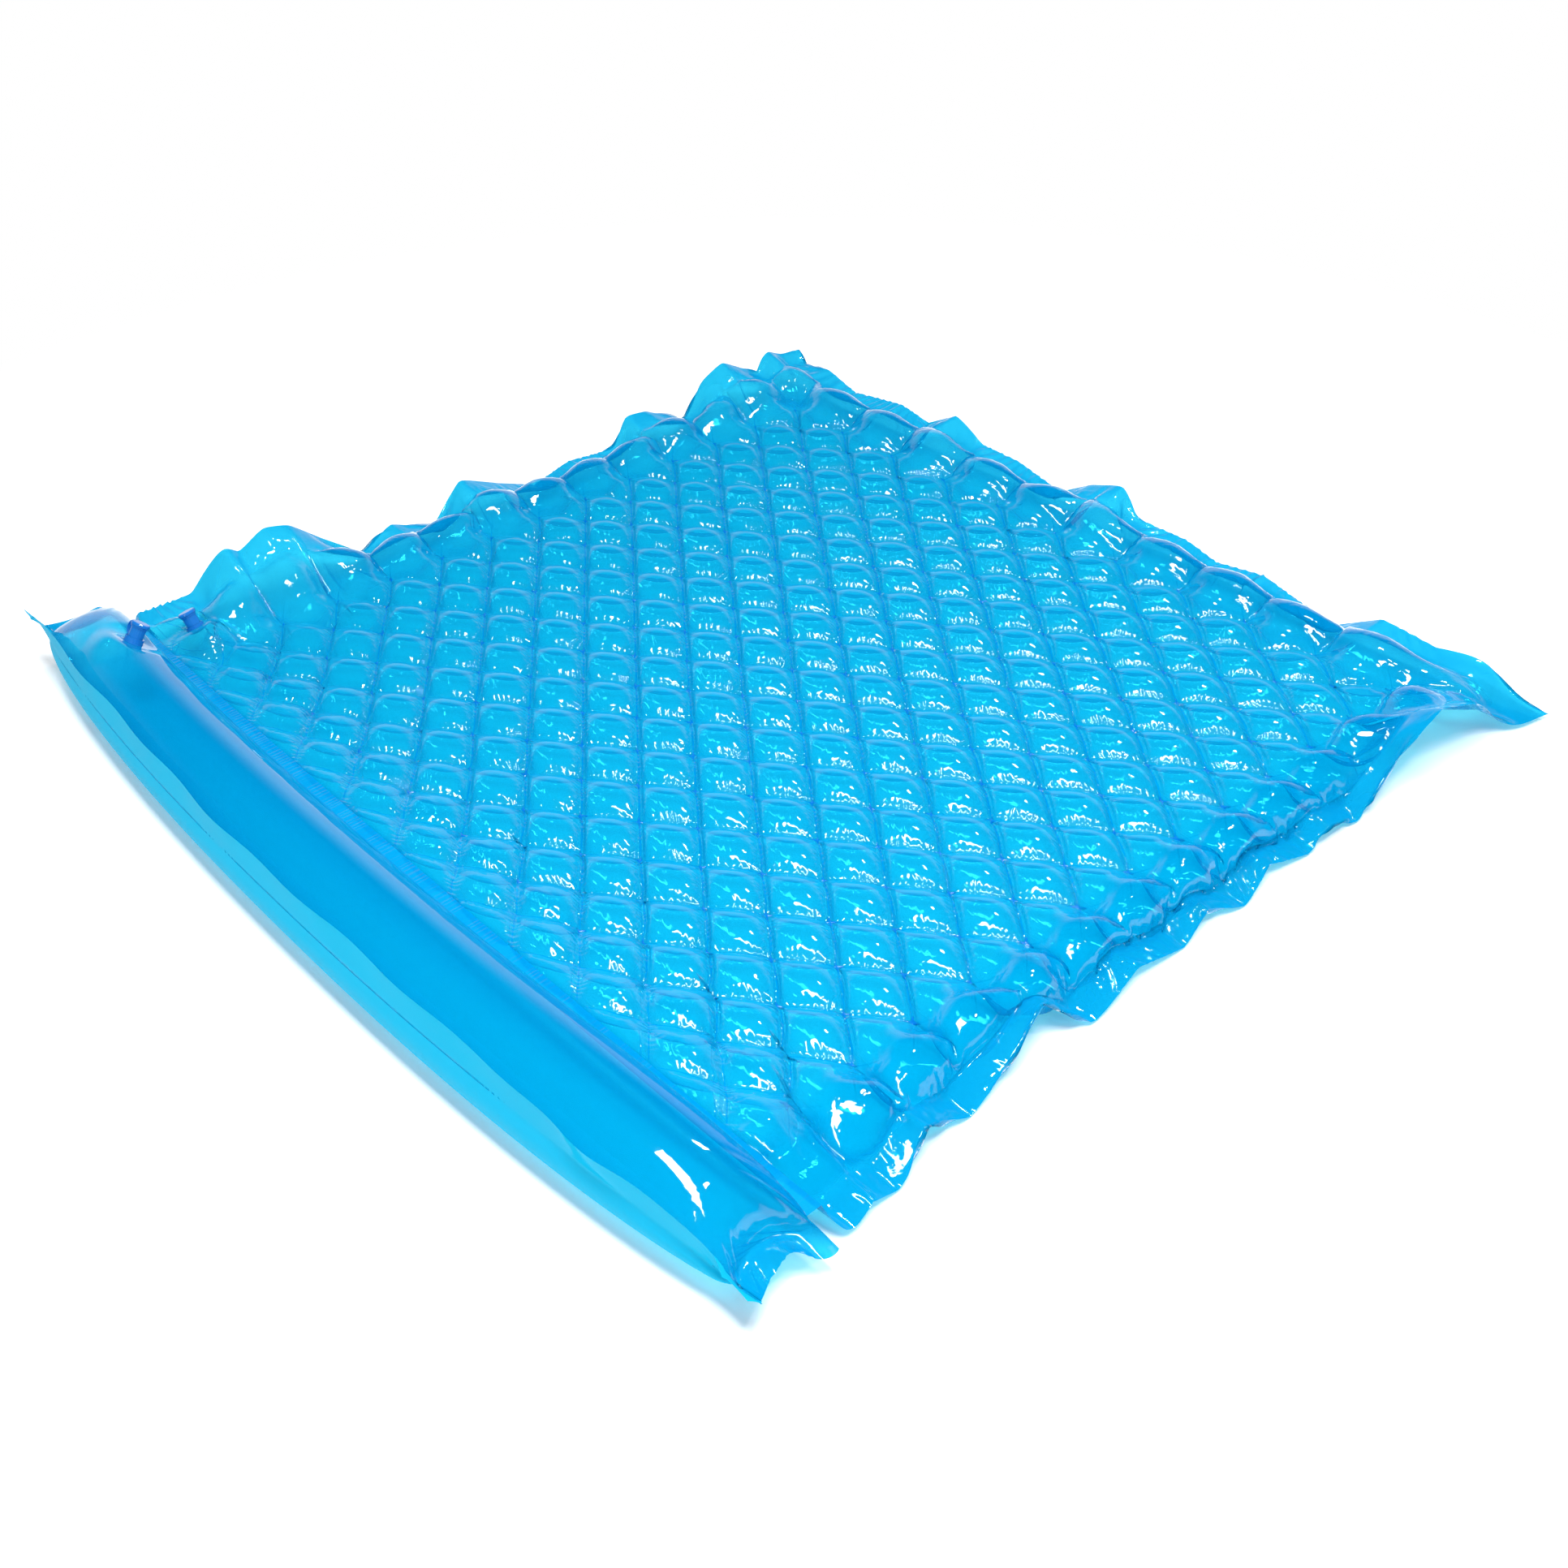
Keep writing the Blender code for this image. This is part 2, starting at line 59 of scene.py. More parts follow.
# The part's own sizes
HALF_ACROSS = 0.035      # half of a diamond cell, across the mat
HALF_ALONG = 0.0268      # half of a diamond cell, along the mat
LINES_ACROSS = 20        # half cells between the outermost lines of weld spots
LINES_ALONG = 24
EDGE_CELL = 0.052        # from the outermost line of spots to the border weld
FLANGE = 0.024           # flat welded edge round the mat
STRIP_HALF = 0.006       # half of the weld strip between the mat and the pillow
FOLD_GAP_HALF = 0.0003   # half of the space between the strip's halves
RISE_LENGTH = 0.105      # stretch over which the mat climbs to the weld strip
FILM = 0.0008            # the part's film thickness
HINGE_Y = joints["pillow_fold"]["pos_m"][1]
STRIP_Z = joints["pillow_fold"]["pos_m"][2] - FILM - 0.00015
NEAR_WELD = HINGE_Y + STRIP_HALF
MAT_HALF_WIDTH = LINES_ACROSS * HALF_ACROSS / 2 + EDGE_CELL + FLANGE
PILLOW_LENGTH = 0.866    # between its end welds
END_FLANGE = 0.020       # flat edge past each end weld
PILLOW_FLANGE = 0.024    # flat edge that stands up along the pillow's front
FRONT_WELD_TURN = 20     # degrees that the front weld lies above the pillow's middle
FLANGE_LEAN = -5         # degrees that the front edge leans out from upright: it lies against the tube
END_LEAN = 30            # the same at the ends
END_DRAW = 0.30          # share of its depth that each gathered end loses
END_GATHER = 0.017       # how far the middle of each end weld is drawn in between its corners
END_CURL = 0.006         # how far the flat edge past it waves up and down
END_WAVE = 190           # radians of that wave in a metre

# The pillow as it lies: bowed, with its ends drawn towards the mat
PILLOW_MIDDLE = -0.3937  # where its middle line lies, halfway along it
PILLOW_BOW = 0.0265      # how far the ends of that line lie nearer the mat
SEAM_BOW = 0.010         # the same for the weld strip
BOW_POWER = 2.3          # how late both bows set in: higher is nearer the ends
PILLOW_RADII = (0.0385, 0.0408, 0.0420)  # at the left end, the middle and the right end
LEFT_SHAPE = 11          # how late each end tapers: higher is later
RIGHT_SHAPE = 5.5
LEFT_END_HEIGHT = 0.043  # of each end weld over the floor
RIGHT_END_HEIGHT = 0.024
END_REACH = 0.07         # stretch over which an end is gathered
TUBE_SINK = 0.0004       # how far the tube would reach into the floor, which flattens it
SEAM_TURN = 0.42         # radians round the tube over which it runs into the weld strip
PILLOW_RADIUS = 0.0405   # of the part's own tube
LENGTH_SLACK = 0.004     # how much longer the film is than the form of the tube, along it
ROUND_SLACK = 0.002      # the same round it
LEFT_END_SLACK = 0.010   # added to it at the ends, where the film is gathered
RIGHT_END_SLACK = 0.035

# The cells as they stand when blown up
SPOT_HEIGHT = 0.0168     # height of the weld spots over the floor
CELL_RISE = 0.0122       # from the spots to a cell's crest
UNDER_RISE = 0.0150      # the same below, before the floor flattens it
EDGE_RISE = 0.017        # in the bigger border cells
WELD_FADE = 0.022        # from a border weld to where the film bulges fully
BOW_REACH = 0.045        # from the weld strip to the cells that no longer follow its bow

# How the films are worked out
STEPS = 12               # grid steps in half a cell
EDGE_STEPS_ACROSS = 15
EDGE_STEPS_ALONG = 19
FLANGE_STEPS_ACROSS = 7
FLANGE_STEPS_ALONG = 9
STRIP_STEPS = 2          # rows that hold the film's edge in the strip, and are left out of its mesh
PILLOW_STEP = 0.0026     # grid step along the pillow
TUBE_STEPS = 46          # grid steps round the tube, strip to front weld
PILLOW_STRIP_STEPS = 3
PILLOW_EDGE_STEPS = 8
PILLOW_FLANGE_STEPS = 9
INNER_SLACK = 0.012      # how much longer the film is than the form of the cells
BORDER_SLACK = 0.045     # the same in the border cells
RUFFLE_SLACK = 0.12      # the same along the loose edge, which ruffles
RUFFLE_START = 0.06      # from the weld strip, which holds the edge, to where it has all its slack
WELD_MARGIN = 0.004      # film this near the border weld has the loose edge's slack
TURNS = 140
MAT_PRESS, PILLOW_PRESS = 2e-5, 1e-5  # how far the air moves a film outwards in one turn
MAT_SMOOTH, PILLOW_SMOOTH = 0.004, 0.01  # how stiff a film is against sharp folds
QUILT_LEAD = 0.25        # share of the way back to its form's height that a cell goes in one turn
EDGE_LEAD = 0.02         # the same for the loose edge
RIM_LEAD = 0.12          # and for its rim, which keeps its place too
TUBE_LEAD = 0.03         # the same for the pillow's tube
PILLOW_EDGE_LEAD = 0.10  # and for its flat edges
SCATTER = 0.00008        # chance shift of the mat's film, which starts its wrinkles
OVER_FLOOR = 0.0003      # lowest place of a film
REAL_FILM = 0.0002       # thickness of such film

# Where a valve stands in its film
BASE_DEPTH = 0.0015      # from the base's underside to the film
SEAT_FLAT = 0.0130       # radius of the flat seat
SEAT_REACH = 0.0340      # radius at which the film runs free again
HOLE_RADIUS = 0.0079     # the collar comes out through this
SEAT_DEPTH = 0.03        # film further than this from the seat's plane is on the chamber's far side
HOLE_DEPTH = 0.004       # the same for the hole

# A weld spot: a star with two long arms and a core
WELD_SPOT_SIZES = (("Arm length", 0.0055), ("Arm width", 0.0010), ("Core", 0.0022), ("Thickness", 0.0010))


def linear(code):
    """sRGB hex to linear RGBA."""
    values = [int(code[k:k + 2], 16) / 255 for k in (1, 3, 5)]
    return tuple(v / 12.92 if v <= 0.04045 else ((v + 0.055) / 1.055) ** 2.4 for v in values) + (1.0,)


# Shape of the films

def hold_length(near, far, length, stretched, squeezed):
    """Moves two sets of points towards their rest length apart."""
    gap = far - near
    size = np.sqrt((gap * gap).sum(-1)) + 1e-9
    off = (size - length) / size
    off = np.where(off > 0, stretched * off, squeezed * off) * 0.5
    gap *= off[..., None]
    near += gap
    far -= gap


def blow_up(films, across, along, hollow, joined, held, guide, rate, turns, press, smooth):
    """Presses two films apart until they hang in their welds.

    films is [upper or lower, row, column, xyz]. across and along are the rest lengths of the grid's
    steps. hollow marks where there is air between the films, joined where they are welded, and held
    what stays put. guide is where a loose edge tends to, and rate how strongly.
    """
    films = films.astype(np.float32)
    across = np.broadcast_to(across, films[:, :, 1:, 0].shape).astype(np.float32)
    along = np.broadcast_to(along, films[:, 1:, :, 0].shape).astype(np.float32)
    diagonal = np.sqrt(across[:, 1:] ** 2 + along[:, :, 1:] ** 2)
    home = films[:, held].copy()
    before = films.copy()
    blown = (hollow[1:-1, 1:-1] * np.float32(press))[..., None]
    for turn in range(turns):
        right = films[:, 1:-1, 2:] - films[:, 1:-1, :-2]
        ahead = films[:, 2:, 1:-1] - films[:, :-2, 1:-1]
        normal = np.cross(right, ahead)
        normal /= np.sqrt((normal * normal).sum(-1, keepdims=True)) + 1e-12
        normal[1] *= -1
        drift = (films - before) * np.float32(0.92)
        before[...] = films
        films += drift
        films[:, 1:-1, 1:-1] += normal * blown
        films += (guide - films) * rate
        for repeat in range(2):
            for odd in (0, 1):
                hold_length(films[:, :, odd:-1:2], films[:, :, odd + 1::2], across[:, :, odd::2], 1.0, 0.5)
            for odd in (0, 1):
                hold_length(films[:, odd:-1:2], films[:, odd + 1::2], along[:, odd::2], 1.0, 0.5)
        for odd in (0, 1):
            hold_length(films[:, :-1, odd:-1:2], films[:, 1:, odd + 1::2], diagonal[:, :, odd::2], 0.3, 0.15)
            hold_length(films[:, 1:, odd:-1:2], films[:, :-1, odd + 1::2], diagonal[:, :, odd::2], 0.3, 0.15)
        for axis in (1, 2):
            bend = np.diff(films, n=4, axis=axis)
            inner = [slice(None)] * 4
            inner[axis] = slice(2, -2)
            films[tuple(inner)] -= np.float32(smooth) * bend
        films[:, joined] = films[:, joined].mean(0)
        films[:, held] = home
        films[..., 2] = np.maximum(films[..., 2], OVER_FLOOR)
    return films


def valve_seat(body):
    """Where a valve stands on its film, and the way out along its stem, from the CAD node."""
    out = -Vector(joints[f"{body}_stem_push"]["axis"])
    points = [vertex.co for vertex in frame["nodes"][f"{body}_valve_base"].data.vertices]
    middle = sum(points, Vector()) / len(points)
    lowest = min((point - middle).dot(out) for point in points)
    return middle + out * (lowest + BASE_DEPTH), out


def seat_film(film, body):
    """Lays a film flat over the base of its valve, and runs smoothly out into its own shape."""
    seat, out = map(np.array, valve_seat(body))
    off = film - seat
    height = off @ out
    radius = np.sqrt(np.maximum((off * off).sum(-1) - height ** 2, 0))
    share = np.clip((SEAT_REACH - radius) / (SEAT_REACH - SEAT_FLAT), 0, 1)
    share = share * share * (3 - 2 * share) * (np.abs(height) < SEAT_DEPTH)
    return film - ((height - FILM / 2) * share)[..., None] * out


def grid_line(lines, pitch, edge_steps, flange_steps):
    """Places along one axis from the middle: the lattice, the border cell, the flange."""
    inner = (np.arange(lines * STEPS + 1) / STEPS - lines / 2) * pitch
    edge = inner[-1] + EDGE_CELL * np.arange(1, edge_steps + 1) / edge_steps
    flange = edge[-1] + FLANGE * np.arange(1, flange_steps + 1) / flange_steps
    return inner, edge, flange


def seam_bow(x):
    """How far the ends of the weld strip are drawn towards the mat, as the pillow's ends gather."""
    return SEAM_BOW * np.clip(np.abs(x) / (PILLOW_LENGTH / 2), 0, 1) ** BOW_POWER


def seam_height(x):
    """Height of the weld strip, whose ends also sag."""
    return STRIP_Z - seam_bow(x)


def weld_plane(x, y):
    """Height of the welds: it climbs to the weld strip near the pillow."""
    near = np.clip(1 - (y - NEAR_WELD) / RISE_LENGTH, 0, 1)
    return SPOT_HEIGHT + (seam_height(x) - SPOT_HEIGHT) * near * near


# The loose edge of the mat: along the side, how far it stands out past its straight line, height
LEFT_EDGE = [
    (-0.342, 0, 0.036), (-0.274, 0, 0.034), (-0.238, 0, 0.071), (-0.226, -0.006, 0.058), (-0.199, 0, 0.073),
    (-0.177, 0, 0.067), (-0.146, -0.003, 0.038), (-0.112, -0.010, 0.013), (-0.076, 0, 0.025),
    (-0.038, -0.010, 0.010), (0.002, 0, 0.042), (0.045, 0, 0.022), (0.082, -0.004, 0.008), (0.127, 0, 0.016),
    (0.177, -0.008, 0.014), (0.200, 0, 0.040), (0.225, 0, 0.036), (0.268, -0.010, 0.014), (0.300, 0, 0.046),
    (0.325, 0, 0.058), (0.366, -0.008, 0.034), (0.392, 0.004, 0.050), (0.435, 0.004, 0.034),
]
RIGHT_EDGE = [
    (-0.342, 0, 0.024), (-0.318, 0.021, 0.003), (-0.292, 0.006, 0.010), (-0.270, 0.009, 0.002),
    (-0.235, -0.009, 0.021), (-0.197, -0.004, 0.002), (-0.165, -0.010, 0.012), (-0.115, -0.024, 0.034),
    (-0.081, -0.004, 0.002), (-0.030, -0.012, 0.014), (0.019, -0.010, 0.002), (0.050, -0.016, 0.014),
    (0.083, -0.007, 0.002), (0.120, -0.016, 0.013), (0.161, -0.010, 0.003), (0.190, -0.015, 0.012),
    (0.219, -0.008, 0.002), (0.255, -0.016, 0.020), (0.280, -0.004, 0.056), (0.305, 0, 0.066),
    (0.346, 0, 0.050), (0.380, -0.004, 0.022), (0.405, 0.012, 0.003), (0.435, 0.026, 0.004),
]
FOOT_EDGE = [
    (-0.426, 0.004, 0.034), (-0.408, -0.008, 0.020), (-0.380, 0, 0.028), (-0.333, -0.006, 0.020),
    (-0.270, 0, 0.026), (-0.228, -0.006, 0.022), (-0.195, 0.002, 0.040), (-0.156, -0.004, 0.024),
    (-0.113, 0, 0.021), (-0.051, -0.008, 0.014), (-0.022, 0, 0.030), (0.015, 0.002, 0.043),
    (0.040, -0.007, 0.021), (0.090, 0, 0.018), (0.129, -0.006, 0.013), (0.175, 0, 0.017),
    (0.215, -0.006, 0.012), (0.257, -0.008, 0.007), (0.293, 0, 0.026), (0.343, 0, 0.022),
    (0.388, 0.002, 0.032), (0.402, -0.006, 0.010), (0.426, 0.006, 0.004),
]
EDGE_FOLLOWS = 0.75      # share of the loose edge's height that its weld takes
FOLLOW_POWER = 1.5       # how soon the border cells stop following it


def cell_form(y, u, v):
    """The quilting as blown up. u and v count half cells from the mat's middle.

    Gives how far each point bulges, 0 to 1, how far it lies out in the border cells, and how much of
    their bigger form it has. The cells run on to the pillow as they are, but not in the right corner.
    """
    corner = np.clip((u - LINES_ACROSS / 2) * 1.5, 0, 1)
    across = np.clip(u, -LINES_ACROSS / 2, LINES_ACROSS / 2)
    along = np.clip(v, None, LINES_ALONG / 2)
    along = along + (np.maximum(along, -LINES_ALONG / 2) - along) * corner
    rise_p, rise_q = np.abs(np.sin(pi * (across + along) / 2)), np.abs(np.sin(pi * (across - along) / 2))
    # a round crest, with a little of the straight fall to the valleys' crossings
    lift = 0.8 * (rise_p * rise_q) ** 0.58 + 0.1 * (rise_p + rise_q)
    outside = np.maximum(np.abs(u) - LINES_ACROSS / 2, np.abs(v) - LINES_ALONG / 2)
    outside = np.clip(outside * 2, 0, 1)
    by_pillow = np.clip((NEAR_WELD + EDGE_CELL - y) / 0.02, 0, 1) * (1 - corner)
    return lift, outside, outside * (1 - by_pillow)


def lead_loose_edge(films, x, y, plane, side_weld, foot_weld, fixed):
    """Leads the loose edge along its lobes, and the border cells after it."""
    out_x = np.clip((np.abs(x) - side_weld) / FLANGE, -1, 1)
    out_y = np.clip((y - foot_weld) / FLANGE, -1, 1)
    leads = []
    for edge, at in ((LEFT_EDGE, y), (RIGHT_EDGE, y), (FOOT_EDGE, x)):
        places, outs, heights = zip(*edge)
        leads.append((np.interp(at, places, outs), np.interp(at, places, heights)))
    left, right, foot = leads
    side_out = np.where(x < 0, left[0], right[0])
    side_height = np.where(x < 0, left[1], right[1])
    near_x, near_y = (np.clip(1 + out, 0, 1) ** FOLLOW_POWER for out in (out_x, out_y))
    share_x, share_y = (EDGE_FOLLOWS + (1 - EDGE_FOLLOWS) * out.clip(0, 1) for out in (out_x, out_y))
    weight = near_x + near_y + 1e-6
    lean = (near_x * share_x * (side_height - plane) + near_y * share_y * (foot[1] - plane)) / weight
    lean *= np.clip(weight, 0, 1)
    lean[fixed] = 0
    films[..., 2] = np.maximum(films[..., 2] + lean, OVER_FLOOR)
    films[..., 0] += np.sign(x) * side_out * near_x * share_x * ~fixed
    films[..., 1] += foot[0] * near_y * share_y


def mat_films():
    """Both films of the mat: points, places in the lattice, the strength of wrinkles, weld spots."""
    inner, edge, flange = grid_line(LINES_ACROSS, HALF_ACROSS, EDGE_STEPS_ACROSS, FLANGE_STEPS_ACROSS)
    xs = np.concatenate([-flange[::-1], -edge[::-1], inner, edge, flange])
    inner, edge, flange = grid_line(LINES_ALONG, HALF_ALONG, EDGE_STEPS_ALONG, FLANGE_STEPS_ALONG)
    middle = NEAR_WELD + EDGE_CELL + LINES_ALONG * HALF_ALONG / 2
    strip_width = NEAR_WELD - HINGE_Y - FOLD_GAP_HALF
    strip = HINGE_Y + FOLD_GAP_HALF + strip_width * np.arange(STRIP_STEPS) / STRIP_STEPS
    ys = np.concatenate([strip, middle - edge[::-1], middle + inner, middle + edge, middle + flange])
    x, y = np.meshgrid(xs, ys)
    rows, columns = x.shape
    first_row, first_column = STRIP_STEPS, FLANGE_STEPS_ACROSS
    last_row, last_column = rows - 1 - FLANGE_STEPS_ALONG, columns - 1 - FLANGE_STEPS_ACROSS
    side_weld, foot_weld = xs[last_column], ys[last_row]
    hollow = np.zeros((rows, columns), bool)
    hollow[first_row + 1:last_row, first_column + 1:last_column] = True
    in_strip = np.zeros((rows, columns), bool)
    in_strip[:first_row + 1] = True
    spots = np.zeros((rows, columns), bool)
    for i in range(LINES_ACROSS + 1):
        for j in range(LINES_ALONG + 1):
            if (i + j) % 2 == 0 and (i, j) != (0, 0):
                row = first_row + EDGE_STEPS_ALONG + j * STEPS
                spots[row, first_column + EDGE_STEPS_ACROSS + i * STEPS] = True

    u, v = x / HALF_ACROSS, (y - middle) / HALF_ALONG
    lift, outside, border = cell_form(y, u, v)
    to_weld = np.minimum(np.minimum(x - xs[first_column], side_weld - x),
                         np.minimum(y - ys[first_row], foot_weld - y))
    fade = np.clip(to_weld / WELD_FADE, 0, 1) ** 0.6 * hollow
    plane = weld_plane(x, y)
    films = np.zeros((2, rows, columns, 3))
    for film, (side, rise) in enumerate(((1, CELL_RISE), (-1, UNDER_RISE))):
        rise = rise + (EDGE_RISE - rise) * border
        films[film, ..., 0] = x
        films[film, ..., 1] = y
        films[film, ..., 2] = np.maximum(plane + side * rise * lift * fade, OVER_FLOOR)
    rng = np.random.default_rng(11)
    films[..., :2] += rng.normal(0, SCATTER, films[..., :2].shape)
    films[:, in_strip, 2] = seam_height(x)[in_strip]
    films[:, :first_row + 1, :, :2] = np.stack([x, y], -1)[:first_row + 1]

    across = np.sqrt((np.diff(films, axis=2) ** 2).sum(-1))
    along = np.sqrt((np.diff(films, axis=1) ** 2).sum(-1))
    slack = INNER_SLACK + (BORDER_SLACK - INNER_SLACK) * border
    # the loose edge is slack along itself, but not where the pillow holds it
    ruffle = RUFFLE_SLACK * np.clip((y - NEAR_WELD) / RUFFLE_START, 0, 1)
    loose_foot, loose_side = y > foot_weld - WELD_MARGIN, np.abs(x) > side_weld - WELD_MARGIN
    across *= 1 + np.where(loose_foot, ruffle, slack)[None, :, 1:]
    along *= 1 + np.where(loose_side, ruffle, slack)[None, 1:, :]

    # the first cells follow the strip's bow
    films[..., 1] += seam_bow(x) * np.clip(1 - (y - NEAR_WELD) / BOW_REACH, 0, 1)
    lead_loose_edge(films, x, y, plane, side_weld, foot_weld, in_strip)
    guide = films.copy()
    # the quilting keeps its height and the rim of the loose edge its place, and the rest is nearly free
    rates = np.zeros((1, rows, columns, 3), np.float32)
    rates[0, ..., 2] = np.where(hollow, QUILT_LEAD * (1 - border), EDGE_LEAD)
    rim = (np.abs(x) > xs[-2]) | (y > ys[-2])
    rates[0, rim] = RIM_LEAD
    rates[0, in_strip] = 0
    joined = ~hollow | spots
    films[:, joined] = films[:, joined].mean(0)
    films = blow_up(films, across, along, hollow, joined, spots | in_strip, guide, rates,
                    TURNS, MAT_PRESS, MAT_SMOOTH)
    films[0] = seat_film(films[0], "mat")

    own = slice(first_row, None)
    wrinkles = np.stack([(1 - border) * hollow, 0.35 + 0.65 * outside, 0.3 * ~(hollow | in_strip)], -1)[own]
    places = np.stack([(u + v) / 2, (u - v) / 2], -1)[own]
    return films[:, own], places, np.stack([wrinkles, wrinkles]), films[:, spots].mean(0)


def pillow_form(xs):
    """Both films of the pillow as rows along it: the weld strip, the tube, the front flange."""
    share = np.abs(xs) / (PILLOW_LENGTH / 2)
    shape = np.where(xs < 0, LEFT_SHAPE, RIGHT_SHAPE)
    full = np.sqrt(np.clip(1 - share ** shape, 0, 1))
    radius = np.interp(xs, (-PILLOW_LENGTH / 2, 0, PILLOW_LENGTH / 2), PILLOW_RADII)
    height = radius * full
    depth = radius * (1 - END_DRAW * (1 - full))
    middle = PILLOW_MIDDLE + PILLOW_BOW * np.clip(share, 0, 1) ** BOW_POWER
    end_height = np.where(xs < 0, LEFT_END_HEIGHT, RIGHT_END_HEIGHT)
    centre = radius - TUBE_SINK + (end_height - radius) * (1 - full)
    rear_y, rear_z = HINGE_Y - STRIP_HALF + seam_bow(xs), seam_height(xs)
    # the flange leans more at the ends, waves a little, and is folded down near the right end
    lean = radians(90 + FLANGE_LEAN) * full + radians(90 + END_LEAN) * (1 - full)
    lean = lean + 0.10 * np.sin(xs * 37 + 1) * np.sin(xs * 17) + 0.30 * np.exp(-((xs - 0.335) / 0.03) ** 2)
    films = []
    for side in (1, -1):
        front = side * radians(180 - side * FRONT_WELD_TURN)
        rows = []
        for k in range(PILLOW_STRIP_STEPS):
            out = FOLD_GAP_HALF + (STRIP_HALF - FOLD_GAP_HALF) * k / PILLOW_STRIP_STEPS
            rows.append(np.stack([xs, HINGE_Y - out + seam_bow(xs), rear_z], -1))
        for k in range(TUBE_STEPS):
            turn = front * k / (TUBE_STEPS - 1)
            y = middle + depth * cos(turn)
            z = centre + height * sin(turn)
            pull = np.exp(-(turn / SEAM_TURN) ** 2)
            y = y + (rear_y - middle - depth) * pull
            z = z + (rear_z - centre) * pull
            rows.append(np.stack([xs, y, z], -1))
        weld = rows[-1]
        for k in range(1, PILLOW_FLANGE_STEPS + 1):
            reach = PILLOW_FLANGE * k / PILLOW_FLANGE_STEPS
            rows.append(weld + np.stack([0 * xs, reach * np.cos(lean), reach * np.sin(lean)], -1))
        films.append(np.stack(rows))
    films = np.stack(films)

    # gathered ends: the middle of the weld is drawn in, and the right one's flat edge waves
    half_depth = PILLOW_RADIUS * (1 - END_DRAW)
    inward = 1 - np.clip((films[..., 1] - middle) / half_depth, -1, 1) ** 2
    near_end = np.clip((np.abs(xs) - PILLOW_LENGTH / 2 + END_REACH) / END_REACH, 0, 1) ** 2
    films[..., 0] -= np.where(xs < 0, -0.5, 1) * END_GATHER * inward * near_end
    past_weld = np.clip((xs - PILLOW_LENGTH / 2) / END_FLANGE, 0, 1)
    films[..., 2] += past_weld * END_CURL * np.sin(films[..., 1] * END_WAVE + 1)
    return films


def pillow_films():
    """Both films of the pillow, as mat_films gives them. It has no weld spots."""
    tube = np.linspace(-PILLOW_LENGTH / 2, PILLOW_LENGTH / 2, round(PILLOW_LENGTH / PILLOW_STEP) + 1)
    end = np.linspace(0, END_FLANGE, PILLOW_EDGE_STEPS + 1)[1:]
    xs = np.concatenate([-PILLOW_LENGTH / 2 - end[::-1], tube, PILLOW_LENGTH / 2 + end])
    films = pillow_form(xs)
    rows, columns = films.shape[1:3]
    strip_rows, edge = PILLOW_STRIP_STEPS, PILLOW_EDGE_STEPS + 1
    front_row = strip_rows + TUBE_STEPS
    hollow = np.zeros((rows, columns), bool)
    hollow[strip_rows + 1:front_row - 1, edge:-edge] = True
    held = np.zeros((rows, columns), bool)
    held[:strip_rows + 1] = True
    across = np.sqrt((np.diff(films, axis=2) ** 2).sum(-1))
    along = np.sqrt((np.diff(films, axis=1) ** 2).sum(-1))
    gathered = np.clip((np.abs(xs) / (PILLOW_LENGTH / 2) - 0.8) / 0.2, 0, 1)
    across *= 1 + LENGTH_SLACK
    along *= (1 + ROUND_SLACK + np.where(xs < 0, LEFT_END_SLACK, RIGHT_END_SLACK) * gathered)[None, None]
    guide = films.copy()
    joined = ~hollow
    films[:, joined] = films[:, joined].mean(0)
    rates = np.full((1, rows, columns, 3), TUBE_LEAD, np.float32)
    rates[0, ~hollow] = PILLOW_EDGE_LEAD
    films = blow_up(films, across, along, hollow, joined, held, guide, rates,
                    TURNS // 2, PILLOW_PRESS, PILLOW_SMOOTH)
    films[0] = seat_film(films[0], "pillow")

    # the flange is fused and pale, and the bottom film's front below it gets the same pale colour and weaker
    # mirror: painted light from the floor below
    x, turn = np.meshgrid(xs, np.arange(rows) * PILLOW_STEP)
    row = np.arange(rows)[:, None]
    fused = np.where(row >= front_row, 1.0, 0.15) * ~(hollow | held)
    painted_floor_light = np.clip((row - strip_rows) / TUBE_STEPS * 5 - 2.8, 0, 1)
    creased = 0.03 + 0.3 * np.broadcast_to(gathered, x.shape)
    wrinkles = np.stack([np.stack([0 * x, creased, pale], -1) for pale in (fused, np.maximum(fused, painted_floor_light))])
    places = np.stack([x, turn], -1) / HALF_ACROSS
    own = slice(strip_rows, None)
    return films[:, own], places[own], wrinkles[:, own], None


def weld_strip(material):
    """The strip where both chambers are welded to each other."""
    x, off = np.meshgrid(np.linspace(-MAT_HALF_WIDTH, MAT_HALF_WIDTH, 321),
                         np.linspace(STRIP_HALF, -STRIP_HALF, 13))
    points = np.stack([x, HINGE_Y + off + seam_bow(x), seam_height(x)], -1)
    # the whole strip is one valley: it gets the valleys' painted shade, deeper blue, for the shade between
    # the pillow and the cells, with small pleats across it
    wrinkles = np.stack([0 * x + 0.9, 0 * x + 0.2, 0 * x + 0.5], -1)
    places = np.stack([x / HALF_ACROSS, 0 * x], -1)
    piece = film_mesh("weld_strip_film", points, places, wrinkles, True, True, material, "pillow")
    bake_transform(piece)


# Meshes

def cut_hole(points, faces, body):
    """Opens a round hole for the valve's collar: points inside it move out to its rim."""
    seat, out = map(np.array, valve_seat(body))
    off = points - seat
    height = off @ out
    flat = off - height[:, None] * out
    radius = np.sqrt((flat * flat).sum(-1))
    inside = (radius < HOLE_RADIUS) & (np.abs(height) < HOLE_DEPTH)
    rim = seat + out * FILM / 2 + flat * (HOLE_RADIUS / np.maximum(radius, 1e-5))[:, None]
    points = np.where(inside[:, None], rim, points)
    return points, faces[~inside[faces].all(1)]


